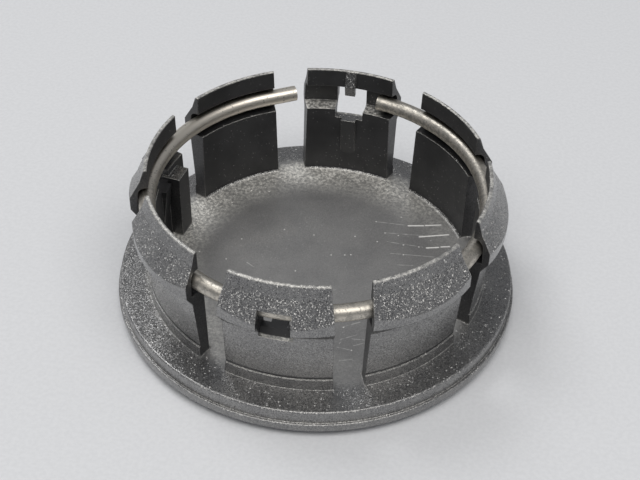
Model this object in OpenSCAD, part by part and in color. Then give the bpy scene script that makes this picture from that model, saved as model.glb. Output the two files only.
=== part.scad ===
// Wheel centre cap with a sprung wire retaining ring.
// Two pieces: the moulded cap body, and the open wire ring clipped inside its eight legs.
// The cap lies on its face: +Z is the way it is pushed into the wheel. Lengths in mm, angles in degrees.

/* [Cap face] */
// diameter over the face band, the widest part of the cap
cap_d = 60; // [57:0.5:66]
// height of the face band below the rim step
face_band_h = 1.4; // [0.8:0.1:3]
// height of the flange band above the rim step
flange_h = 2; // [1.2:0.1:4]
// width of the rim step between the two bands
rim_step = 0.45; // [0.2:0.05:0.8]
// rise of the domed face from its flat middle to the rim
dome_rise = 1; // [0.4:0.1:2]
// diameter of the flat middle of the face
land_d = 34; // [16:1:40]
// radius of the soft rim edges
rim_round = 0.3; // [0.1:0.05:0.5]

/* [Clip legs] */
// number of legs around the clip ring
leg_count = 8; // [6:1:8]
// width of the gap between two legs, at the flange
gap_w = 4.4; // [3.6:0.1:5]
// width of the gap between two legs, at their top
gap_top_w = 5.4; // [4.4:0.1:6]
// height of the legs above the flange
leg_h = 18.9; // [16:0.1:22]
// inside diameter of the clip ring at the floor
clip_bore_d = 46.8; // [44:0.1:47.2]
// outward flare of the inner wall, floor to ledge
bore_flare = 0.1; // [0:0.05:0.3]
// radial thickness of a leg just above its foot
leg_wall = 1.8; // [1.6:0.05:2]
// outward lean of the outer wall, foot to barb
wall_flare = 0.75; // [0.5:0.05:0.8]
// height of the thicker foot
foot_h = 1.9; // [1:0.1:3]
// step of the foot beyond the leg wall
foot_step = 0.2; // [0.1:0.05:0.4]
// radius of the fillet between leg and floor
foot_fillet = 0.55; // [0.2:0.05:0.8]

/* [Snap barb] */
// reach of the barb in the middle of a leg, beyond the leg wall at the foot
barb_reach = 2.35; // [2.15:0.05:2.4]
// radius of the barb's face seen from above, tighter than the clip ring, so that it bulges
barb_face_r = 18.9; // [18:0.1:22]
// angle of the lead-in ramp from vertical
ramp_angle = 31; // [30:1:33]
// distance from the top of the legs down to the ramp's upper end
ramp_drop = 1.9; // [1.7:0.1:2.1]
// radial thickness of the leg at the ramp's upper end
brow_t = 1.15; // [1.05:0.05:1.25]
// angle of the barb's underside from vertical
under_angle = 32; // [31:1:34]
// distance from the top of the legs down to the barb's lower edge
chin_drop = 6.6; // [6.4:0.05:6.8]
// distance from the top of the legs down to the foot of the barb's underside
under_drop = 8.25; // [8.1:0.05:8.4]
// radial thickness of the rim at the top of a leg
top_t = 0.55; // [0.5:0.05:0.8]
// width of the bevel on the top edges
top_bevel = 0.1; // [0.05:0.05:0.2]

/* [Ring groove] */
// distance from the top of the legs down to the groove's ledge
ledge_drop = 6.9; // [6.7:0.1:7.3]
// height of the groove
groove_h = 3.9; // [3.7:0.05:4]
// depth of the groove behind the inner wall, at the ledge
groove_depth = 2.5; // [2.4:0.05:2.55]
// inset of the groove's back wall at its top
groove_inset = 0.2; // [0:0.05:0.3]
// radius of the corner under the groove's roof
groove_round = 1.1; // [0.8:0.05:1.15]
// depth of the lip in front of the groove's top, from the groove's back wall
lip_t = 1.55; // [1.4:0.05:1.6]

/* [Windowed legs] */
// width of the window, outside
window_w = 4.7; // [4:0.1:5.4]
// narrowing of the window through the wall
window_taper = 0.5; // [0:0.1:1]
// distance from the top of the legs down to the window
window_drop = 3.7; // [3.4:0.1:3.9]
// height of the window, outside
window_h = 5.4; // [5:0.1:6]
// height of the inner sill above the outer one
sill_step = 0.7; // [0.3:0.1:1]
// depth of the outer sill, inwards from the barb's widest point
sill_depth = 2.4; // [2.2:0.05:2.6]
// run of the slope between the two sills
sill_slope = 0.65; // [0.3:0.05:1]
// width of the corbel under the sill
corbel_w = 2.3; // [1.6:0.1:3]
// reach of the corbel into the cap
corbel_reach = 0.75; // [0.4:0.05:1.2]
// height of the corbel
corbel_h = 6.7; // [4:0.1:8]

/* [Ring stop] */
// width of the stop that hangs between the ring's two ends
stop_w = 1.6; // [1.2:0.1:2.2]
// reach of the stop in front of the lip
stop_reach = 0.85; // [0.5:0.05:1]
// depth of the stop below the lip
stop_depth = 1.3; // [0.9:0.1:1.6]
// height of the stop's undercut end
stop_nib_h = 1.8; // [1:0.1:2]

/* [Index block] */
// width of the index block
block_w = 3.2; // [2.4:0.1:4]
// reach of the index block into the cap
block_reach = 1.9; // [1.2:0.1:2.6]
// distance from the groove's ledge down to the top of the index block
block_drop = 1; // [0.5:0.1:3]
// angle of the block from the middle of its leg
block_angle = -8.2; // [-9:0.1:-6]

/* [Retaining ring] */
// wire diameter
wire_d = 2.4; // [2:0.05:2.4]
// angle between the ring's two ends
ring_gap = 31.2; // [26:0.1:34]
// direction of the middle of that gap, from +X
ring_gap_at = 95; // [93:0.1:97]
// length of the wire's straight end
tail_l = 5; // [3:0.1:5]
// clearance between wire and groove wall
ring_clear = 0.12; // [0.1:0.01:0.2]
// height of the wire above the groove's ledge
wire_lift = 0.8; // [0.5:0.1:0.8]

/* [Hidden] */
$fn = 120;
paint = [0.33, 0.33, 0.35];
steel = [0.72, 0.70, 0.66];
windowed_legs = [0, 4, 6];
block_leg = 6;
first_leg_at = 90;
overlap = 1;
side_spare = 6;
tip_spare = 0.2;
stop_leg = 0;
sink = 0.3;

cap_r = cap_d / 2;
flange_r = cap_r - rim_step;
flange_z = dome_rise + face_band_h + flange_h;
step_z = dome_rise + face_band_h;

leg_pitch = 360 / leg_count;
bore_r = clip_bore_d / 2;
ledge_r = bore_r + bore_flare;
wall_r = bore_r + leg_wall;
foot_r = wall_r + foot_step;
leg_top_z = flange_z + leg_h;

barb_r = wall_r + barb_reach;
barb_face_at = barb_r - barb_face_r;
leg_span = leg_pitch - side_spare;

groove_z = leg_top_z - ledge_drop;
groove_top_z = groove_z + groove_h;
groove_r = ledge_r + groove_depth;
groove_top_r = groove_r - groove_inset;
lip_r = groove_top_r - lip_t;
top_r = lip_r + top_t;

brow_r = lip_r + brow_t;
brow_z = leg_top_z - ramp_drop;
under_r = wall_r + wall_flare;
under_z = leg_top_z - under_drop;
chin_z = leg_top_z - chin_drop;
chin_r = under_r + (chin_z - under_z) * tan(under_angle);
tip_r = barb_r + tip_spare;
tip_z = brow_z - (tip_r - brow_r) / tan(ramp_angle);

stop_bottom_z = groove_top_z - stop_depth;
stop_r = lip_r - stop_reach;
wire_r = wire_d / 2;
wire_z = groove_z + wire_lift + wire_r;
back_h = groove_h - groove_round;
back_angle = atan(groove_inset / back_h);
back_r = groove_r - groove_inset * (wire_z - groove_z) / back_h;
ring_r = back_r - (wire_r + ring_clear) / cos(back_angle);
tail_angle = atan(tail_l / ring_r);

window_top_z = leg_top_z - window_drop;
outer_sill_z = window_top_z - window_h;
inner_sill_z = outer_sill_z + sill_step;
sill_r = barb_r - sill_depth;
ridge_r = sill_r - sill_slope;
block_r = bore_r - block_reach;
block_root_z = flange_z - overlap;
block_top_z = groove_z - block_drop;

function arc(cx, cy, r, a0, a1, n) = [for (i = [0:n]) [cx + r * cos(a0 + (a1 - a0) * i / n), cy + r * sin(a0 + (a1 - a0) * i / n)]];

// height of the domed face at radius r, zero at the edge of the flat middle
function dome_z(r) = dome_rise * (pow(r, 2) - pow(land_d / 2, 2)) / (pow(cap_r, 2) - pow(land_d / 2, 2));

module at_leg(i) {
    rotate([0, 0, first_leg_at - i * leg_pitch])
        children();
}

module face_profile() {
    dome_end = cap_r - rim_round;
    dome_steps = 5;
    polygon(concat(
        [[0, 0]],
        [for (i = [0:dome_steps])
            let (r = land_d / 2 + (dome_end - land_d / 2) * i / dome_steps)
            [r, dome_z(r)]],
        arc(cap_r - rim_round, dome_rise + rim_round, rim_round, -45, 0, 2),
        arc(cap_r - rim_round / 2, step_z - rim_round / 2, rim_round / 2, 0, 90, 2),
        [[flange_r, step_z]],
        arc(flange_r - rim_round, flange_z - rim_round, rim_round, 0, 90, 3),
        [[0, flange_z]]
    ));
}

module leg_profile() {
    root_z = flange_z - overlap;
    polygon(concat(
        [[foot_r, root_z], [foot_r, flange_z + foot_h], [wall_r, flange_z + foot_h]],
        [[under_r, under_z], [chin_r, chin_z], [tip_r, chin_z], [tip_r, tip_z], [brow_r, brow_z]],
        [[top_r, leg_top_z - top_bevel], [top_r - top_bevel, leg_top_z]],
        [[lip_r + top_bevel, leg_top_z], [lip_r, leg_top_z - top_bevel], [lip_r, groove_top_z]],
        arc(groove_top_r - groove_round, groove_top_z - groove_round, groove_round, 90, 0, 4),
        [[groove_r, groove_z], [ledge_r, groove_z]],
        arc(bore_r - foot_fillet, flange_z + foot_fillet, foot_fillet, 0, -90, 3),
        [[bore_r - foot_fillet, root_z]]
    ));
}

// half the width of a gap between two legs at height z
function gap_half(z) = (gap_w + (gap_top_w - gap_w) * (z - flange_z) / leg_h) / 2;

// straight-sided cut outwards through the ring of legs, wider towards the top
module gap_cut(i) {
    low_z = flange_z - 2 * overlap;
    high_z = leg_top_z + overlap;
    at_leg(i + 0.5)
        translate([bore_r / 2, 0, 0])
            rotate([90, 0, 90])
                linear_extrude(cap_r - bore_r / 2)
                    polygon([
                        [-gap_half(low_z), low_z],
                        [gap_half(low_z), low_z],
                        [gap_half(high_z), high_z],
                        [-gap_half(high_z), high_z]
                    ]);
}

// one leg before its sides are cut: the ring's section, its barb trimmed by an upright round face
module leg(i) {
    at_leg(i)
        intersection() {
            rotate([0, 0, -leg_span / 2])
                rotate_extrude(angle = leg_span)
                    leg_profile();
            translate([barb_face_at, 0, flange_z - 2 * overlap])
                cylinder(r = barb_face_r, h = leg_h + 4 * overlap);
        }
}

module leg_ring() {
    difference() {
        for (i = [0:leg_count - 1]) {
            leg(i);
        }
        for (i = [0:leg_count - 1]) {
            gap_cut(i);
        }
    }
}

// tapered opening through the wall above the inner sill, with a slope down to the outer one
module window_cut(i) {
    half = window_w / 2;
    inner_half = half - window_taper / 2;
    inside_r = bore_r - overlap;
    outside_r = barb_r + overlap;
    at_leg(i) {
        translate([0, 0, inner_sill_z])
            linear_extrude(window_top_z - inner_sill_z)
                polygon([
                    [inside_r, -inner_half],
                    [ridge_r, -half],
                    [outside_r, -half],
                    [outside_r, half],
                    [ridge_r, half],
                    [inside_r, inner_half]
                ]);
        rotate([90, 0, 0])
            translate([0, 0, -half])
                linear_extrude(window_w)
                    polygon([
                        [ridge_r, inner_sill_z],
                        [sill_r, outer_sill_z],
                        [outside_r, outer_sill_z],
                        [outside_r, window_top_z],
                        [ridge_r, window_top_z]
                    ]);
    }
}

// wedge under the inner sill, sunk into the wall
module corbel(i) {
    root_z = inner_sill_z - corbel_h * (corbel_reach + sink) / corbel_reach;
    at_leg(i)
        rotate([90, 0, 0])
            translate([0, 0, -corbel_w / 2])
                linear_extrude(corbel_w)
                    polygon([
                        [bore_r - corbel_reach, inner_sill_z],
                        [bore_r + sink, inner_sill_z],
                        [bore_r + sink, root_z]
                    ]);
}

// wedge down the inside of the lip, undercut at its lower end, that keeps the ring from turning
module ring_stop() {
    root_r = lip_r + top_t / 2;
    at_leg(stop_leg)
        rotate([90, 0, 0])
            translate([0, 0, -stop_w / 2])
                linear_extrude(stop_w)
                    polygon([
                        [lip_r, leg_top_z - top_bevel],
                        [stop_r, stop_bottom_z + stop_nib_h],
                        [lip_r - stop_reach / 2, stop_bottom_z],
                        [root_r, stop_bottom_z],
                        [root_r, leg_top_z - top_bevel]
                    ]);
}

module index_block() {
    at_leg(block_leg)
        rotate([0, 0, block_angle])
            translate([block_r, -block_w / 2, block_root_z])
                cube([block_reach + overlap, block_w, block_top_z - block_root_z]);
}

module face_disc() {
    rotate_extrude()
        face_profile();
}

module cap_body() {
    color(paint) {
        difference() {
            union() {
                face_disc();
                leg_ring();
            }
            for (i = windowed_legs) {
                window_cut(i);
            }
        }
        for (i = windowed_legs) {
            corbel(i);
        }
        ring_stop();
        index_block();
    }
}

// bent wire with one straight end
module retaining_ring() {
    arc_from = ring_gap_at + ring_gap / 2 + tail_angle;
    arc_angle = 360 - ring_gap - tail_angle;
    color(steel)
        translate([0, 0, wire_z])
            rotate([0, 0, arc_from]) {
                rotate_extrude(angle = arc_angle)
                    translate([ring_r, 0])
                        circle(r = wire_r, $fn = 24);
                translate([ring_r, 0, 0])
                    rotate([90, 0, 0])
                        cylinder(r = wire_r, h = tail_l, $fn = 24);
            }
}

cap_body();
retaining_ring();
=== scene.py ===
# %% [markdown]
# A snap-in wheel centre cap lies on its face, clip legs up.
# A sprung wire ring lies in the groove inside the legs.
# The imported model gives both pieces at their real size, so no shape is made here.
# This lesson dresses them: soft edges, flake paint, bare plastic, mist, painted shade and highlights,
# scratches, and plain studio light.

import math

import bpy
from mathutils import Matrix, Vector


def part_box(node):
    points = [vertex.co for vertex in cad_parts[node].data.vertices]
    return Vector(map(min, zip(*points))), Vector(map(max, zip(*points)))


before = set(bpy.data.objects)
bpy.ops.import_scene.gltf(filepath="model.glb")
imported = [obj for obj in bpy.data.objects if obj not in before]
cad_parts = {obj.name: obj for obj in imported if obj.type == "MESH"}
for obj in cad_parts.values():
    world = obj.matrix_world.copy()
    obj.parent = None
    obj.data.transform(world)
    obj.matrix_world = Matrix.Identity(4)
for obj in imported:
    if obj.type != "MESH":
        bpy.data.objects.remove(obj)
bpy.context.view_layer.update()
MM = 0.001
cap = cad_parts["cap_body"]
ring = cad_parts["retaining_ring"]
print("pieces:", sorted(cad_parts))

# %% [markdown]
# The finish changes from place to place, so the places are needed as numbers.
# They could all be typed in, but then a change to the model would leave them behind.
# So they are worked out from the cap's own box and a few sizes, all in metres.
# Heights are counted from the table, and the flange's back is the floor that shows between the legs.

# %% Measure the cap
LEG_HEIGHT = 18.9 * MM
BORE_RADIUS = 23.4 * MM
cap_low, cap_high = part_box("cap_body")
leg_top = cap_high.z
floor_height = leg_top - LEG_HEIGHT


def in_mm(length):
    return round(length / MM, 2)


print("cap", in_mm(cap_high.x - cap_low.x), "mm across, floor at", in_mm(floor_height), "mm")

# %% [markdown]
# A camera or a lamp stands in the scene with three axes: its right, its up, and the way its back faces.
# Blender could aim it with a constraint, but a constraint hides the roll.
# So the axes are written into its matrix as columns, with its place as the last one.

# %% Axes and place


def matrix_from(right, up, back, place):
    rows = [(right[i], up[i], back[i], place[i]) for i in range(3)]
    return Matrix(rows + [(0, 0, 0, 1)])


print("upright at the origin:", matrix_from((1, 0, 0), (0, 1, 0), (0, 0, 1), (0, 0, 0)) == Matrix())

# %% [markdown]
# The camera looks down at 42 degrees from a little to the right of the front leg, as in the photograph.
# It is first tilted, then rolled by one degree, and last turned about the upright axis.
# A long lens keeps the round face from bulging towards the viewer.

# %% Place the camera
CAMERA_AT = Vector((27.41, -134.07, 132.11)) * MM
CAMERA_TURN = math.radians(11.36)
CAMERA_ELEVATION = math.radians(41.926)
CAMERA_ROLL = math.radians(-1.291)
CAMERA_LENS = 69.18
SENSOR_WIDTH = 36
NEAREST = 0.005
FARTHEST = 20


def camera_axes():
    right = Vector((1, 0, 0))
    up = Vector((0, math.sin(CAMERA_ELEVATION), math.cos(CAMERA_ELEVATION)))
    forward = Vector((0, math.cos(CAMERA_ELEVATION), -math.sin(CAMERA_ELEVATION)))
    rolled_right = math.cos(CAMERA_ROLL) * right - math.sin(CAMERA_ROLL) * up
    rolled_up = math.sin(CAMERA_ROLL) * right + math.cos(CAMERA_ROLL) * up
    turn = Matrix.Rotation(CAMERA_TURN, 3, "Z")
    return turn @ rolled_right, turn @ rolled_up, turn @ forward


def make_camera():
    data = bpy.data.cameras.new("camera")
    data.lens = CAMERA_LENS
    data.sensor_width = SENSOR_WIDTH
    data.clip_start = NEAREST
    data.clip_end = FARTHEST
    camera = bpy.data.objects.new("camera", data)
    right, up, forward = camera_axes()
    camera.matrix_world = matrix_from(right, up, -forward, CAMERA_AT)
    bpy.context.scene.collection.objects.link(camera)
    bpy.context.scene.camera = camera
    return camera


camera = make_camera()
print("camera height", round(camera.location.z / MM), "mm")

# %% [markdown]
# A finish is a small sum on position and facing direction, worked out for each point while rendering.
# Blender holds such sums as nodes, and each node takes several lines to make and link.
# So each helper below makes one node from numbers or sockets and gives back its result.
# A sum then reads like a sum.

# %% Sums


def feed(tree, value, socket):
    if isinstance(value, bpy.types.NodeSocket):
        tree.links.new(value, socket)
    else:
        socket.default_value = value


def calc(tree, operation, first, second=0.0):
    node = tree.nodes.new("ShaderNodeMath")
    node.operation = operation
    feed(tree, first, node.inputs[0])
    feed(tree, second, node.inputs[1])
    return node.outputs[0]


def chain(tree, operation, values):
    result = values[0]
    for value in values[1:]:
        result = calc(tree, operation, result, value)
    return result


def product(tree, *values):
    return chain(tree, "MULTIPLY", values)


def largest(tree, *values):
    return chain(tree, "MAXIMUM", values)


def total(tree, *values):
    return chain(tree, "ADD", values)


def opposite(tree, share):
    return calc(tree, "SUBTRACT", 1.0, share)


print("sums: product, largest, total, opposite")

# %% [markdown]
# Sprayed paint has no sharp borders, so every share here fades from 0 to 1 over a short stretch.
# Two plain numbers and a division would do it, but the fade would start and stop with a corner.
# The Map Range node's smooth step has none.
# fade_at() and band() are counted in millimetres from a border, and band() fades out again on its far side.
# Below, BORDERS are where a fade starts and ends, and AMOUNTS are what it gives at the two.

# %% Fades


def span(tree, value, low, high, start=0.0, end=1.0):
    node = tree.nodes.new("ShaderNodeMapRange")
    node.interpolation_type = "SMOOTHSTEP"
    for name, number in (("From Min", low), ("From Max", high), ("To Min", start), ("To Max", end)):
        feed(tree, number, node.inputs[name])
    feed(tree, value, node.inputs["Value"])
    return node.outputs["Result"]


def fade_at(tree, value, border, start, full):
    return span(tree, value, border + start * MM, border + full * MM)


def band(tree, value, border, start, full, fading, gone):
    rise = fade_at(tree, value, border, start, full)
    return product(tree, rise, fade_at(tree, value, border, gone, fading))


print("fades: span, fade_at, band")

# %% [markdown]
# Positions and facing directions are arrows of three numbers.
# Their match is the sum of the products of their paired numbers.
# It is 1 for two arrows of length 1 that point the same way, and 0 for two that stand square to each other.

# %% Arrows


def arrow(tree, operation, first, second=(0.0, 0.0, 0.0)):
    node = tree.nodes.new("ShaderNodeVectorMath")
    node.operation = operation
    feed(tree, first, node.inputs[0])
    feed(tree, second, node.inputs[1])
    return node.outputs["Value" if operation == "DOT_PRODUCT" else "Vector"]


def stretch(tree, vector, factor):
    node = tree.nodes.new("ShaderNodeVectorMath")
    node.operation = "SCALE"
    feed(tree, vector, node.inputs[0])
    feed(tree, factor, node.inputs["Scale"])
    return node.outputs["Vector"]


def split(tree, vector):
    node = tree.nodes.new("ShaderNodeSeparateXYZ")
    feed(tree, vector, node.inputs[0])
    return tuple(node.outputs)


def match(tree, first, second):
    return total(tree, *[product(tree, one, other) for one, other in zip(first, second)])


print("arrows: arrow, stretch, split, match")

# %% [markdown]
# Two patterns are enough for the whole cap.
# Soft noise gives clouds, for mist and for broad changes of tone, and random cells give flakes.
# Both are three-dimensional, so they need no unwrapping and run over edges without a seam.

# %% Patterns


def cloud(tree, place, size, detail=2.0):
    node = tree.nodes.new("ShaderNodeTexNoise")
    feed(tree, place, node.inputs["Vector"])
    node.inputs["Scale"].default_value = 1 / size
    node.inputs["Detail"].default_value = detail
    return node.outputs[0]


def cells(tree, place, size):
    node = tree.nodes.new("ShaderNodeTexVoronoi")
    feed(tree, place, node.inputs["Vector"])
    node.inputs["Scale"].default_value = 1 / size
    return node.outputs["Color"]


print("patterns: cloud, cells")

# %% [markdown]
# Each finish is one Principled shader or a mix of two, with fine relief from a Bump node.
# The relief is far too small to model: hundredths of a millimetre.

# %% Materials


def new_material(name):
    material = bpy.data.materials.new(name)
    material.use_nodes = True
    tree = material.node_tree
    tree.nodes.clear()
    output = tree.nodes.new("ShaderNodeOutputMaterial")
    return material, tree, output.inputs["Surface"]


def new_surface(tree, colour, metallic, roughness, normal):
    shader = tree.nodes.new("ShaderNodeBsdfPrincipled")
    feed(tree, colour, shader.inputs["Base Color"])
    feed(tree, metallic, shader.inputs["Metallic"])
    feed(tree, roughness, shader.inputs["Roughness"])
    feed(tree, normal, shader.inputs["Normal"])
    return shader


def relief(tree, height, depth, normal=None):
    node = tree.nodes.new("ShaderNodeBump")
    node.inputs["Strength"].default_value = 1.0
    node.inputs["Distance"].default_value = depth
    feed(tree, height, node.inputs["Height"])
    if normal is not None:
        feed(tree, normal, node.inputs["Normal"])
    return node.outputs[0]


def blend(tree, share, first, second):
    node = tree.nodes.new("ShaderNodeMix")
    node.data_type = "RGBA"
    feed(tree, share, node.inputs[0])
    feed(tree, first, node.inputs[6])
    feed(tree, second, node.inputs[7])
    return node.outputs[2]


print("materials: new_material, new_surface, relief, blend")

# %% [markdown]
# Moulded plastic never has a knife edge, and sprayed paint rounds its edges further.
# A bevel modifier would cut real facets, but it stops at the smallest face.
# Some faces here are only a tenth of a millimetre wide.
# So the material looks around each point and bends the normal across the edges, which works at any width.
# The paint ran thickest over the tops of the legs, so their edges are rounder.

# %% Soften the edges
EDGE_ROUND = 0.18 * MM
TOP_ROUND = 0.42 * MM
TOP_BORDERS = (leg_top - 0.9 * MM, leg_top - 0.5 * MM)
EDGE_SAMPLES = 6


def round_edges(tree, height):
    radius = span(tree, height, *TOP_BORDERS, EDGE_ROUND, TOP_ROUND)
    node = tree.nodes.new("ShaderNodeBevel")
    node.samples = EDGE_SAMPLES
    feed(tree, radius, node.inputs["Radius"])
    return node.outputs["Normal"]


print("edges look rounded by", in_mm(EDGE_ROUND), "mm, and the leg tops by", in_mm(TOP_ROUND), "mm")

# %% [markdown]
# The cap is moulded in charcoal plastic and sprayed from outside with a dark silver flake paint.
# A mask for the paint could be drawn by hand on an unwrapped mesh.
# Each change to the model would spoil that mask.
# So the share of paint follows from where a point lies and which way it faces.
# "outward" is 1 on a face that looks away from the axis, and "aside" is 1 on the sides of the gaps.
# Both divide by the radius, which is kept above a millimetre, so that the middle of the cap is safe.

# %% Where a point lies


def cap_places(tree):
    place = tree.nodes.new("ShaderNodeTexCoord").outputs["Object"]
    x, y, z = split(tree, place)
    soft = round_edges(tree, z)
    facing_x, facing_y, up = split(tree, soft)
    radius = calc(tree, "SQRT", match(tree, (x, y), (x, y)))
    safe_radius = calc(tree, "MAXIMUM", radius, MM)
    outward = match(tree, (x, y), (facing_x, facing_y))
    aside = calc(tree, "SUBTRACT", product(tree, x, facing_y), product(tree, y, facing_x))
    return {
        "place": place, "x": x, "y": y, "z": z, "radius": radius, "soft": soft, "up": up,
        "outward": calc(tree, "DIVIDE", outward, safe_radius),
        "aside": calc(tree, "ABSOLUTE", calc(tree, "DIVIDE", aside, safe_radius)),
        "turn": calc(tree, "ARCTAN2", y, x),
    }


print("each point gives its place, radius, turn, and how far it faces up, outward and aside")

# %% [markdown]
# The spray hardly reached inside the legs, so the inner walls are bare plastic.
# The sides of the narrow gaps are given dark bare plastic as painted shade, and all undersides are made
# dark as well.
# Only the facing direction decides this, with a short fade at each border.

# %% Bare walls and painted shade in the gaps
LOOKS_UP = (0.3, 0.6)
LOOKS_DOWN = (-0.2, -0.6)
LOOKS_IN = (-0.78, -0.95)
LOOKS_ASIDE = (0.75, 0.93)
GAP_SIDE_SHADE = 0.85
UNDERSIDE_DARK = 0.8


def bare_walls(tree, at):
    inner = span(tree, at["outward"], *LOOKS_IN)
    gap_side_shade = span(tree, at["aside"], *LOOKS_ASIDE, 0.0, GAP_SIDE_SHADE)
    undersides = span(tree, at["up"], *LOOKS_DOWN, 0.0, UNDERSIDE_DARK)
    return largest(tree, inner, gap_side_shade, undersides)


print("gap sides", GAP_SIDE_SHADE, "bare, undersides", UNDERSIDE_DARK)

# %% [markdown]
# The wire lies on a ledge inside the legs, and the ledge beneath it is given dark bare plastic as painted
# shade.
# At the gap between the wire's two ends the ledge is open, and there it takes the mist.
# So the ledge is found by its height, and the gap by its angle around the cap.

# %% Ledge under the wire
LEDGE_HEIGHT = floor_height + 12.0 * MM
RING_GAP_TURN = math.radians(95)
RING_GAP_REACH = (math.cos(math.radians(19)), math.cos(math.radians(16)))
WIRE_SHADE = 0.9


def ledge_share(tree, at):
    on_ledge = band(tree, at["z"], LEDGE_HEIGHT, -0.5, -0.2, 0.7, 1.1)
    return product(tree, on_ledge, span(tree, at["up"], *LOOKS_UP))


def ring_gap_share(tree, at):
    from_gap = calc(tree, "COSINE", calc(tree, "SUBTRACT", at["turn"], RING_GAP_TURN))
    return span(tree, from_gap, *RING_GAP_REACH)


def shade_under_wire(tree, at):
    shaded = fade_at(tree, at["radius"], BORE_RADIUS, 0.2, 0.5)
    covered = opposite(tree, ring_gap_share(tree, at))
    return product(tree, ledge_share(tree, at), shaded, covered, WIRE_SHADE)


print("ledge at", in_mm(LEDGE_HEIGHT), "mm")

# %% [markdown]
# Three legs have a window with a sill.
# The back one is left painted and takes the mist.
# The inner half of the sills at the front and the left lies in shade under the lip and the wire, and is
# given dark bare plastic as painted shade.
# They are found by their height and by a strip across the leg, since both legs lie on an axis of the cap.

# %% Window sills
SILL_HEIGHT = floor_height + 9.8 * MM
SILL_HALF_WIDTH = 2.5 * MM
LEG_RADIUS = 25.2 * MM


def strip(tree, across, along):
    width = fade_at(tree, calc(tree, "ABSOLUTE", across), SILL_HALF_WIDTH, 0.2, 0.0)
    return product(tree, width, fade_at(tree, along, 0.0, 0.0, -1.0))


def window_sill_shade(tree, at):
    legs = largest(tree, strip(tree, at["x"], at["y"]), strip(tree, at["y"], at["x"]))
    on_sill = band(tree, at["z"], SILL_HEIGHT, -0.4, -0.2, 1.0, 1.2)
    inside = fade_at(tree, at["radius"], LEG_RADIUS, 0.15, -0.05)
    return product(tree, legs, on_sill, inside)


print("sills at", in_mm(SILL_HEIGHT), "mm")

# %% [markdown]
# The stop that keeps the wire from turning stands out from its leg, so it caught some of the spray.
# The deep corner above the foot is given dark bare plastic as painted shade, a dark line around each leg.

# %% Ring stop and foot corner
STOP_HALF_WIDTH = 0.8 * MM
STOP_BARE = 0.45
FOOT_HEIGHT = floor_height + 1.9 * MM
CORNER_SHADE = 0.85
LOOKS_OUT = (0.5, 0.8)


def ring_stop(tree, at):
    width = fade_at(tree, calc(tree, "ABSOLUTE", at["x"]), STOP_HALF_WIDTH, 0.15, 0.0)
    back = fade_at(tree, at["y"], 0.0, 0.0, 1.0)
    high = fade_at(tree, at["z"], LEDGE_HEIGHT, 0.5, 1.0)
    return product(tree, width, back, high)


def foot_corner_shade(tree, at):
    in_corner = band(tree, at["z"], FOOT_HEIGHT, 0.0, 0.08, 0.35, 0.6)
    return product(tree, in_corner, span(tree, at["outward"], *LOOKS_OUT), CORNER_SHADE)


print("feet end at", in_mm(FOOT_HEIGHT), "mm")

# %% [markdown]
# Now the bare places and the painted shade are put together.
# The larger of two shares is taken and not their sum, so that places which overlap don't count twice.
# Only the legs have them, so the result fades out at the floor and inside the circle of the legs.

# %% Where the paint is missing or shade is painted
LOOKS_STRAIGHT_UP = (0.6, 0.9)


def bare_share(tree, at):
    bare = largest(tree, bare_walls(tree, at), window_sill_shade(tree, at), shade_under_wire(tree, at))
    stop_factor = span(tree, ring_stop(tree, at), 0.0, 1.0, 1.0, STOP_BARE)
    bare = largest(tree, product(tree, bare, stop_factor), foot_corner_shade(tree, at))
    above_floor = fade_at(tree, at["z"], floor_height, 0.1, 0.4)
    on_legs = fade_at(tree, at["radius"], BORE_RADIUS, -2.2, -2.0)
    return product(tree, bare, above_floor, on_legs)


def inner_floor_share(tree, at):
    at_floor = band(tree, at["z"], floor_height, -1.2, -0.5, 0.1, 0.4)
    inside = fade_at(tree, at["radius"], BORE_RADIUS, 3.0, -0.4)
    return product(tree, span(tree, at["up"], *LOOKS_STRAIGHT_UP), at_floor, inside)


print("legs from a radius of", in_mm(BORE_RADIUS), "mm, floor inside them")

# %% [markdown]
# Silver flakes lie in the paint at different tilts, so some flash under the lamp and most stay dull.
# Two sizes of cells stand for them: fine ones that roughen the shine, and a few coarse ones that lean far.
# Random cells suit this better than noise, because each flake must have one flat tilt.
# The ramps at the top of the legs faced the spray gun, so their flakes lie thicker and wilder.

# %% Flakes
FINE_FLAKE = 0.11 * MM
COARSE_FLAKE = 0.15 * MM
FINE_LEAN = (0.28, 0.90)
COARSE_LEAN = (1.1, 1.8)
COARSE_CROWD = (0.035, 0.80)
NO_LEAN = (0.5, 0.5, 0.5)
RAMP_BEGINS = (0.2, 0.4)
RAMP_ENDS = (0.85, 0.65)


def ramp_share(tree, at):
    return product(tree, span(tree, at["up"], *RAMP_BEGINS), span(tree, at["up"], *RAMP_ENDS))


def flakes(tree, at):
    fine_cells = cells(tree, at["place"], FINE_FLAKE)
    coarse_cells = cells(tree, at["place"], COARSE_FLAKE)
    fine = split(tree, fine_cells)
    coarse = split(tree, coarse_cells)
    on_ramp = ramp_share(tree, at)
    crowd = span(tree, on_ramp, 0.0, 1.0, *COARSE_CROWD)
    flash = calc(tree, "LESS_THAN", coarse[1], product(tree, at["lively"], crowd))
    fine_lean = product(tree, at["lively"], span(tree, on_ramp, 0.0, 1.0, *FINE_LEAN))
    coarse_lean = product(tree, flash, at["lively"], span(tree, on_ramp, 0.0, 1.0, *COARSE_LEAN))
    fine_tilt = stretch(tree, arrow(tree, "SUBTRACT", fine_cells, NO_LEAN), fine_lean)
    coarse_tilt = stretch(tree, arrow(tree, "SUBTRACT", coarse_cells, NO_LEAN), coarse_lean)
    tilted = arrow(tree, "ADD", at["soft"], arrow(tree, "ADD", fine_tilt, coarse_tilt))
    return arrow(tree, "NORMALIZE", tilted), fine, coarse


print("flakes", in_mm(FINE_FLAKE), "and", in_mm(COARSE_FLAKE), "mm wide")
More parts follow.
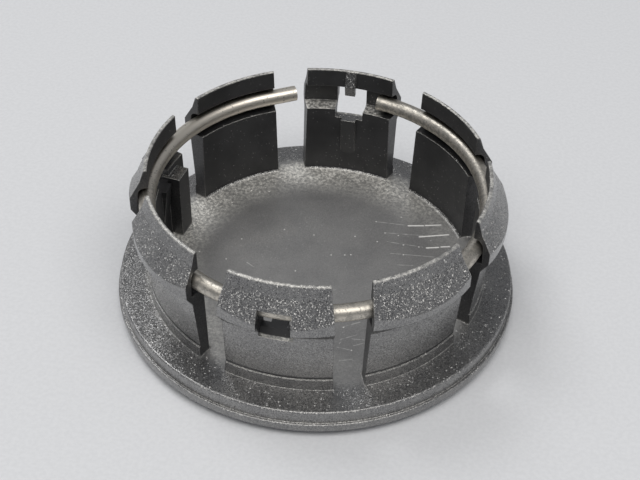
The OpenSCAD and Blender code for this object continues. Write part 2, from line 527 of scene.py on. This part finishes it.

# %% [markdown]
# Some of the spray fell through the gaps as a dry mist and piled up on the floor along the legs.
# The band is lightest at the back on the left and nearly missing at the front on the right, partly real
# mist and partly a painted reflection of the light on the floor.
# A ring that fades inwards gives its place, and two clouds, one broad and one coarse, break it up.

# %% Mist and painted sheen on the floor
MIST_FROM = 15.5 * MM
MIST_FULL = 22.4 * MM
MIST_AND_SHEEN_TURN = math.radians(140)
MIST_AND_SHEEN_BORDERS = (-0.55, 0.5)
MIST_AND_SHEEN_AMOUNTS = (0.12, 1.25)
PATCH_SIZE = 5 * MM
PATCH_BORDERS = (0.35, 0.6)
PATCH_AMOUNTS = (0.7, 1.0)


def floor_mist(tree, at, on_floor):
    near_legs = span(tree, at["radius"], MIST_FROM, MIST_FULL)
    from_brightest = calc(tree, "COSINE", calc(tree, "SUBTRACT", at["turn"], MIST_AND_SHEEN_TURN))
    side = span(tree, from_brightest, *MIST_AND_SHEEN_BORDERS, *MIST_AND_SHEEN_AMOUNTS)
    broad = span(tree, cloud(tree, at["place"], PATCH_SIZE), *PATCH_BORDERS, *PATCH_AMOUNTS)
    return product(tree, near_legs, side, broad, on_floor)


print("mist thickest at", round(math.degrees(MIST_AND_SHEEN_TURN)), "degrees")

# %% [markdown]
# The mist also settled on the open ledge, where it faces up. The sills, the leg tops and each sharp upper
# edge get the same light colour as a painted highlight.
# An edge is found where the softened normal leaves the flat one, and the match of the two tells how far.

# %% Mist on the ledges, painted highlights on the edges
EDGE_BEND = (0.985, 0.88)
EDGE_FACING = (0.2, 0.5)
EDGE_HIGHLIGHT = 0.75
TOP_HIGHLIGHT = 0.75
GRAIN_SIZE = 0.55 * MM
GRAIN_BORDERS = (0.36, 0.62)
GRAIN_AMOUNTS = (0.35, 1.0)


def upper_edge(tree, at):
    flat = tree.nodes.new("ShaderNodeNewGeometry").outputs["True Normal"]
    bend = span(tree, arrow(tree, "DOT_PRODUCT", at["soft"], flat), *EDGE_BEND)
    return product(tree, bend, span(tree, at["up"], *EDGE_FACING))


def ledge_mist(tree, at):
    looks_up = span(tree, at["up"], *LOOKS_UP)
    open_ledge = product(tree, ledge_share(tree, at), ring_gap_share(tree, at))
    leg_tops = product(tree, fade_at(tree, at["z"], leg_top, -0.4, -0.15), looks_up)
    on_sills = product(tree, band(tree, at["z"], SILL_HEIGHT, -0.3, -0.1, 0.1, 0.3), looks_up)
    edges = product(tree, upper_edge(tree, at), EDGE_HIGHLIGHT)
    return largest(tree, open_ledge, product(tree, leg_tops, TOP_HIGHLIGHT), edges, on_sills)


def mist_share(tree, at, on_floor):
    grain = span(tree, cloud(tree, at["place"], GRAIN_SIZE, 3.0), *GRAIN_BORDERS, *GRAIN_AMOUNTS)
    return product(tree, grain, largest(tree, floor_mist(tree, at, on_floor), ledge_mist(tree, at)))


print("mist on edges", EDGE_HIGHLIGHT, "and on leg tops", TOP_HIGHLIGHT)

# %% [markdown]
# The floor inside the cap carries real handling marks.
# A few deep scratches run out to the right-hand legs, with hairlines beside them.
# Scuffs cross each other in the gap at the front.
# A drawn texture would need an image, so each mark is a short line between two points on the floor.
# The points are given in millimetres from the cap's axis.

# %% Marks on the floor
DEEP_SCRATCHES = [
    (12.26, 11.84, 14.57, 12.39),
    (14.90, 12.50, 17.19, 13.20),
    (14.37, 9.64, 18.71, 11.18),
    (15.85, 7.34, 17.60, 7.88),
    (18.00, 8.09, 19.25, 8.46),
]
HAIRLINES = [
    (10.62, 4.86, 17.24, 5.56),
    (8.96, 9.35, 14.83, 10.07),
    (7.13, 11.64, 12.25, 11.90),
    (9.66, 7.38, 15.24, 7.38),
    (12.05, 2.50, 14.38, 2.92),
    (6.76, -12.06, 8.81, -10.70),
    (6.77, -14.68, 8.79, -13.34),
    (8.34, -14.24, 10.07, -14.05),
    (8.80, -15.49, 10.27, -14.57),
    (6.58, -16.29, 8.67, -16.44),
    (7.40, -18.76, 9.10, -18.09),
    (6.74, -15.54, 7.21, -14.29),
    (-10.38, -2.15, -9.15, -2.88),
]
SPECKS = [
    (4.54, 7.45), (8.14, 7.02), (12.22, 7.20), (11.10, 9.19), (12.59, 4.98),
    (4.72, 3.13), (3.83, 2.87), (14.64, 7.29), (7.13, 11.64), (10.81, 13.62),
    (8.97, 9.30), (1.79, 2.39), (-2.75, -2.33), (-12.49, 2.81), (-18.03, -1.51),
    (-13.62, -2.15), (-1.77, 6.28), (-6.55, 6.50), (-20.40, 8.73),
    (6.68, -12.26), (8.67, -16.44),
]
print("marks:", len(DEEP_SCRATCHES), "scratches,", len(HAIRLINES), "hairlines,", len(SPECKS), "specks")

# %% [markdown]
# To draw a mark, the material needs the distance from a point to a line with two ends.
# The nearest place on the line is found as a share of the way along it, kept between 0 and 1.
# A speck is a mark whose two ends are the same point, so the length is kept above zero before it divides.
# All this is a node group, which is built once and then used for each mark with only four numbers.

# %% Distance to a mark
SHORTEST = 1e-12


def mark_group():
    group = bpy.data.node_groups.new("mark", "ShaderNodeTree")
    for name in ("X", "Y", "X1", "Y1", "X2", "Y2", "Width"):
        group.interface.new_socket(name, in_out="INPUT", socket_type="NodeSocketFloat")
    group.interface.new_socket("Mark", in_out="OUTPUT", socket_type="NodeSocketFloat")
    entry = group.nodes.new("NodeGroupInput").outputs
    leave = group.nodes.new("NodeGroupOutput").inputs
    run = [calc(group, "SUBTRACT", entry[axis + "2"], entry[axis + "1"]) for axis in "XY"]
    away = [calc(group, "SUBTRACT", entry[axis], entry[axis + "1"]) for axis in "XY"]
    length = calc(group, "MAXIMUM", match(group, run, run), SHORTEST)
    share = calc(group, "DIVIDE", match(group, away, run), length)
    share = calc(group, "MINIMUM", calc(group, "MAXIMUM", share, 0.0), 1.0)
    off = [calc(group, "SUBTRACT", one, product(group, other, share)) for one, other in zip(away, run)]
    distance = calc(group, "SQRT", match(group, off, off))
    feed(group, span(group, distance, entry["Width"], 0.0), leave["Mark"])
    return group


marks = mark_group()
print("nodes in the mark group:", len(marks.nodes))

# %% [markdown]
# The deep scratches shine along their whole length, while the hairlines are broken up by a cloud.
# A mark could also be cut into the mesh, but it is thinner than any face there and shows by its tone alone.

# %% Worn places
SCRATCH_WIDTH = 0.23 * MM
HAIR_WIDTH = 0.11 * MM
SPECK_WIDTH = 0.17 * MM
BREAK_SIZE = 0.8 * MM
BREAK_BORDERS = (0.35, 0.55)
HAIR_AMOUNTS = (0.05, 0.35)


def draw_marks(tree, at, lines, width):
    shares = []
    for line in lines:
        node = tree.nodes.new("ShaderNodeGroup")
        node.node_tree = marks
        feed(tree, at["x"], node.inputs["X"])
        feed(tree, at["y"], node.inputs["Y"])
        for name, value in zip(("X1", "Y1", "X2", "Y2"), line):
            node.inputs[name].default_value = value * MM
        node.inputs["Width"].default_value = width
        shares.append(node.outputs["Mark"])
    return largest(tree, *shares)


def worn_share(tree, at, on_floor):
    deep = draw_marks(tree, at, DEEP_SCRATCHES, SCRATCH_WIDTH)
    broken = span(tree, cloud(tree, at["place"], BREAK_SIZE), *BREAK_BORDERS, *HAIR_AMOUNTS)
    hair = product(tree, draw_marks(tree, at, HAIRLINES, HAIR_WIDTH), broken)
    specks = draw_marks(tree, at, [spot + spot for spot in SPECKS], SPECK_WIDTH)
    return product(tree, largest(tree, deep, hair, specks), on_floor)


print("scratches", in_mm(SCRATCH_WIDTH), "mm wide, hairlines", in_mm(HAIR_WIDTH), "mm")

# %% [markdown]
# Before any colour is mixed, all shares for the cap are worked out once and kept under plain names.
# "dull" is the floor where no mist lies, because the paint is thin there.
# "lively" tells how strongly the flakes lean, and it is low on the dull floor.
# "drift" is one broad cloud that changes the tone of paint and plastic slowly across the cap.

# %% Shares of the cap's finish
DULL_LIVELINESS = 0.3
DRIFT_SIZE = 5 * MM
DRIFT_BORDERS = (0.3, 0.7)


def cap_shares(tree):
    at = cap_places(tree)
    on_floor = inner_floor_share(tree, at)
    at["bare"] = bare_share(tree, at)
    at["mist"] = mist_share(tree, at, on_floor)
    at["worn"] = worn_share(tree, at, on_floor)
    at["dull"] = product(tree, on_floor, opposite(tree, at["mist"]))
    at["lively"] = span(tree, at["dull"], 0.0, 1.0, 1.0, DULL_LIVELINESS)
    at["drift"] = cloud(tree, at["place"], DRIFT_SIZE, 3.0)
    at["tilted"], at["fine"], at["coarse"] = flakes(tree, at)
    return at


print("shares: bare, mist, worn, dull, lively, drift")

# %% [markdown]
# The paint's colour differs from flake to flake between a dark and a light silver.
# One silver with a noise over it would look like dirt, so each cell takes its own tone.
# Mist is lighter and a little yellower, since its dry grains scatter the light, and scratches are lightest.
# The same mist colour is also the painted highlight on edges, leg tops and sills, and the painted sheen on
# the floor.

# %% Colour of the paint
PAINT_DARK = (0.15, 0.15, 0.155, 1)
PAINT_LIGHT = (0.40, 0.395, 0.385, 1)
MIST_AND_HIGHLIGHT_DARK = (0.50, 0.49, 0.46, 1)
MIST_AND_HIGHLIGHT_LIGHT = (0.98, 0.96, 0.90, 1)
SCRAPED = (1.0, 0.99, 0.96, 1)
FINE_TONE = 0.55
COARSE_TONE = 0.45
MIDDLE_TONE = 0.45
DRIFT_AMOUNTS = (-0.08, 0.08)


def paint_colour(tree, at):
    tone = total(tree, product(tree, at["fine"][2], FINE_TONE), product(tree, at["coarse"][2], COARSE_TONE))
    off_middle = product(tree, calc(tree, "SUBTRACT", tone, 0.5), at["lively"])
    slow = span(tree, at["drift"], *DRIFT_BORDERS, *DRIFT_AMOUNTS)
    colour = blend(tree, total(tree, off_middle, MIDDLE_TONE, slow), PAINT_DARK, PAINT_LIGHT)
    colour = blend(tree, at["mist"], colour, blend(tree, at["coarse"][0], MIST_AND_HIGHLIGHT_DARK, MIST_AND_HIGHLIGHT_LIGHT))
    return blend(tree, at["worn"], colour, SCRAPED)


print("paint from", PAINT_DARK[:3], "to", PAINT_LIGHT[:3])

# %% [markdown]
# The paint is metal flakes in a binder, with a thin clear coat that is smooth over the tilted flakes.
# So the flakes bend the normal of the base alone, and the coat keeps the soft normal of the surface.
# Thin paint on the floor and dry mist are rougher and less metallic, because more of the binder shows.

# %% Paint
ROUGHNESS = (0.25, 0.44)
FLAKE_ROUGHNESS = 0.1
METAL = (0.92, 0.62)
METAL_LOST = 0.5
COAT = 0.35
COAT_ROUGHNESS = 0.12
SKIN_SIZE = 0.9 * MM
SKIN_DEPTH = 0.010 * MM


def make_paint(tree, at):
    rough = span(tree, largest(tree, at["dull"], at["mist"]), 0.0, 1.0, *ROUGHNESS)
    rough = total(tree, rough, product(tree, at["fine"][0], FLAKE_ROUGHNESS))
    lost = product(tree, largest(tree, at["worn"], at["mist"]), METAL_LOST)
    metal = calc(tree, "SUBTRACT", span(tree, at["dull"], 0.0, 1.0, *METAL), lost)
    skin = relief(tree, cloud(tree, at["place"], SKIN_SIZE), SKIN_DEPTH, at["tilted"])
    paint = new_surface(tree, paint_colour(tree, at), metal, rough, skin)
    paint.inputs["Coat Weight"].default_value = COAT
    paint.inputs["Coat Roughness"].default_value = COAT_ROUGHNESS
    feed(tree, at["soft"], paint.inputs["Coat Normal"])
    return paint.outputs[0]


print("roughness", ROUGHNESS, "metal", METAL, "coat", COAT)

# %% [markdown]
# The plastic is plain charcoal with the fine grain of its mould, and paler where it has been rubbed.
# The grain is a small relief and not a colour, because the real one shows only in the shine.

# %% Plastic
PLASTIC = (0.017, 0.0172, 0.0185, 1)
PLASTIC_WORN = (0.046, 0.046, 0.048, 1)
PLASTIC_ROUGHNESS = 0.44
MOULD_GRAIN_SIZE = 0.14 * MM
MOULD_GRAIN_DEPTH = 0.006 * MM
MOST_RUBBED = 0.6


def make_plastic(tree, at):
    grain = relief(tree, cloud(tree, at["place"], MOULD_GRAIN_SIZE), MOULD_GRAIN_DEPTH, at["soft"])
    rubbed = span(tree, at["drift"], *DRIFT_BORDERS, 0.0, MOST_RUBBED)
    colour = blend(tree, rubbed, PLASTIC, PLASTIC_WORN)
    return new_surface(tree, colour, 0.0, PLASTIC_ROUGHNESS, grain).outputs[0]


print("plastic from", PLASTIC[:3], "to", PLASTIC_WORN[:3])

# %% [markdown]
# The cap's finish is the two surfaces mixed by the share of paint, where the dark plastic stands both for
# bare plastic and for painted shade.
# A few stray flakes reached the bare walls too: single cells, picked out by their random number.

# %% Cap finish
STRAY_BORDERS = (0.35, 0.7)
STRAY_CROWD = (0.002, 0.02)
STRAY_PAINT = 0.6


def cap_finish():
    material, tree, surface = new_material("cap_paint")
    at = cap_shares(tree)
    crowd = span(tree, at["drift"], *STRAY_BORDERS, *STRAY_CROWD)
    stray = calc(tree, "LESS_THAN", at["coarse"][0], crowd)
    painted = largest(tree, opposite(tree, at["bare"]), product(tree, stray, STRAY_PAINT))
    mix = tree.nodes.new("ShaderNodeMixShader")
    feed(tree, painted, mix.inputs[0])
    feed(tree, make_plastic(tree, at), mix.inputs[1])
    feed(tree, make_paint(tree, at), mix.inputs[2])
    feed(tree, mix.outputs[0], surface)
    return material


def dress(piece, material):
    piece.data.materials.clear()
    piece.data.materials.append(material)


dress(cap, cap_finish())
print("nodes in the cap's finish:", len(cap.data.materials[0].node_tree.nodes))

# %% [markdown]
# The ring is bright drawn spring wire, and drawing leaves fine lines that run along it.
# To follow them, the material needs two angles: one around the cap, and one around the wire's own section.
# Both come from the ring's box, which also gives the thickness of the wire.

# %% Around the wire
ring_low, ring_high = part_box("retaining_ring")
wire_height = (ring_high.z + ring_low.z) / 2
wire_radius = (ring_high.z - ring_low.z) / 2
wire_ring_radius = (ring_high.x - ring_low.x) / 2 - wire_radius


def wire_angles(tree, place):
    x, y, z = split(tree, place)
    radius = calc(tree, "SQRT", match(tree, (x, y), (x, y)))
    out = calc(tree, "SUBTRACT", radius, wire_ring_radius)
    section = calc(tree, "ARCTAN2", calc(tree, "SUBTRACT", z, wire_height), out)
    return calc(tree, "ARCTAN2", y, x), section


print("wire", in_mm(2 * wire_radius), "mm thick, on a radius of", in_mm(wire_ring_radius), "mm")

# %% [markdown]
# The lines are a cloud that is laid out flat, one way along the wire and the other around its section.
# Along the wire it is pressed together tenfold, which stretches each grain of the cloud into a line.

# %% Drawn lines
LINE_STRETCH = 0.1
LINE_SIZE = 0.08 * MM


def drawn_lines(tree, turn, section):
    flat = tree.nodes.new("ShaderNodeCombineXYZ")
    feed(tree, product(tree, turn, wire_ring_radius * LINE_STRETCH), flat.inputs[0])
    feed(tree, product(tree, section, wire_radius), flat.inputs[1])
    return cloud(tree, flat.outputs[0], LINE_SIZE, 3.0)


print("lines", in_mm(LINE_SIZE), "mm wide and", in_mm(LINE_SIZE / LINE_STRETCH), "mm long")

# %% [markdown]
# The paint mist has left the wire dull, and it is duller away from one bright stretch at the back on the
# left. This fall-off is partly real mist and partly painted shade on the wire where the lips of the legs
# overhang it.
# Its dust is a thin even veil, cloudy patches, and single flecks, and the strongest of the three counts.

# %% Dust and painted shade on the wire
BRIGHTEST_WIRE_TURN = math.radians(145)
BRIGHT_WIRE_BORDERS = (0.93, 0.45)
LEAST_DUST_AND_SHADE = 0.10
DUST_PATCH_SIZE = 0.7 * MM
DUST_PATCH_BORDERS = (0.35, 0.65)
PATCHES = 0.8
VEIL = 0.42
FLECKS = 0.8
FLECK_SIZE = 0.2 * MM
FLECK_CROWD = 0.2


def wire_dust_and_shade(tree, place, turn):
    from_brightest_wire = calc(tree, "COSINE", calc(tree, "SUBTRACT", turn, BRIGHTEST_WIRE_TURN))
    dust_and_shade_level = span(tree, from_brightest_wire, *BRIGHT_WIRE_BORDERS, LEAST_DUST_AND_SHADE, 1.0)
    patch = span(tree, cloud(tree, place, DUST_PATCH_SIZE, 4.0), *DUST_PATCH_BORDERS)
    fleck = split(tree, cells(tree, place, FLECK_SIZE))[0]
    fleck = calc(tree, "LESS_THAN", fleck, product(tree, dust_and_shade_level, FLECK_CROWD))
    patches = product(tree, patch, dust_and_shade_level, PATCHES)
    return largest(tree, patches, product(tree, dust_and_shade_level, VEIL), product(tree, fleck, FLECKS))


print("wire cleanest at", round(math.degrees(BRIGHTEST_WIRE_TURN)), "degrees")

# %% [markdown]
# Dust hides the steel's warm tone and scatters its shine, so it drives both the colour and the roughness,
# and the painted shade in it darkens the colour as well.
# The drawn lines go into the relief, where they break up the highlight along the wire.

# %% Ring finish
STEEL = (0.80, 0.745, 0.655, 1)
STEEL_DULL = (0.31, 0.30, 0.275, 1)
STEEL_ROUGHNESS = 0.33
DUST_ROUGHNESS = 0.16
LINE_DEPTH = 0.008 * MM


def ring_finish():
    material, tree, surface = new_material("spring_steel")
    place = tree.nodes.new("ShaderNodeTexCoord").outputs["Object"]
    turn, section = wire_angles(tree, place)
    dust_and_shade = wire_dust_and_shade(tree, place, turn)
    colour = blend(tree, dust_and_shade, STEEL, STEEL_DULL)
    rough = total(tree, product(tree, dust_and_shade, DUST_ROUGHNESS), STEEL_ROUGHNESS)
    lines = relief(tree, drawn_lines(tree, turn, section), LINE_DEPTH)
    feed(tree, new_surface(tree, colour, 1.0, rough, lines).outputs[0], surface)
    return material


dress(ring, ring_finish())
print("nodes in the ring's finish:", len(ring.data.materials[0].node_tree.nodes))

# %% [markdown]
# The part lies on plain pale paper, a sheet so large that the camera sees no edge of it.
# Faint fibres keep it from looking like an empty background and give the shadow something to lie on.

# %% Paper floor
FLOOR_SIZE = 4
PAPER_LOW = (0.70, 0.71, 0.73, 1)
PAPER_HIGH = (0.74, 0.75, 0.77, 1)
PAPER_ROUGHNESS = 0.7
FIBRE_SIZE = 0.6 * MM
FIBRE_BORDERS = (0.3, 0.7)
FIBRE_DEPTH = 0.02 * MM


def make_paper():
    material, tree, surface = new_material("paper")
    place = tree.nodes.new("ShaderNodeTexCoord").outputs["Object"]
    fibres = cloud(tree, place, FIBRE_SIZE, 4.0)
    colour = blend(tree, span(tree, fibres, *FIBRE_BORDERS), PAPER_LOW, PAPER_HIGH)
    paper = new_surface(tree, colour, 0.0, PAPER_ROUGHNESS, relief(tree, fibres, FIBRE_DEPTH))
    feed(tree, paper.outputs[0], surface)
    return material


bpy.ops.mesh.primitive_plane_add(size=FLOOR_SIZE, location=(0, 0, 0))
floor = bpy.context.object
floor.name = "floor"
floor.data.materials.append(make_paper())
print("floor", FLOOR_SIZE, "m wide")

# %% [markdown]
# One wide soft lamp hangs above and in front.
# Its width lights the wire all the way across the back, and its depth lights the rounded edges.
# A smaller lamp high behind on the left throws the shadow forwards, as in the photograph.
# The spot of a lamp is counted to the right, towards the camera and up, and its face looks at the cap.

# %% Lamps


def make_lamp(name, spot, size, power, tint=(1, 1, 1)):
    data = bpy.data.lights.new(name, "AREA")
    data.shape = "RECTANGLE"
    data.size, data.size_y = size
    data.energy = power
    data.color = tint
    lamp = bpy.data.objects.new(name, data)
    right, towards, height = spot
    turn = Matrix.Rotation(CAMERA_TURN, 3, "Z")
    place = turn @ Vector((right, -towards, height))
    back = place.normalized()
    across = -(turn @ Vector((1, 0, 0))).cross(back).cross(back)
    across.normalize()
    lamp.matrix_world = matrix_from(across, back.cross(across), back, place)
    bpy.context.scene.collection.objects.link(lamp)
    return lamp


WARM = (1.0, 0.98, 0.95)
front_lamp = make_lamp("ceiling", spot=(0.02, 0.28, 0.78), size=(1.15, 0.55), power=5.0, tint=WARM)
back_lamp = make_lamp("back", spot=(-0.32, -0.34, 0.70), size=(0.30, 0.30), power=1.4)
print("lamp heights:", round(front_lamp.location.z, 2), "m and", round(back_lamp.location.z, 2), "m")

# %% [markdown]
# A faint cool light from all sides stands for the rest of the room.
# Without it the bare plastic would go black.
# The Standard view shows each colour about as it is written.

# %% Room light
ROOM_COLOUR = (0.88, 0.9, 0.94, 1)
ROOM_STRENGTH = 0.30

world = bpy.data.worlds.new("studio")
world.use_nodes = True
room = world.node_tree.nodes["Background"]
room.inputs["Color"].default_value = ROOM_COLOUR
room.inputs["Strength"].default_value = ROOM_STRENGTH
bpy.context.scene.world = world
bpy.context.scene.view_settings.view_transform = "Standard"
print("room light", ROOM_STRENGTH)
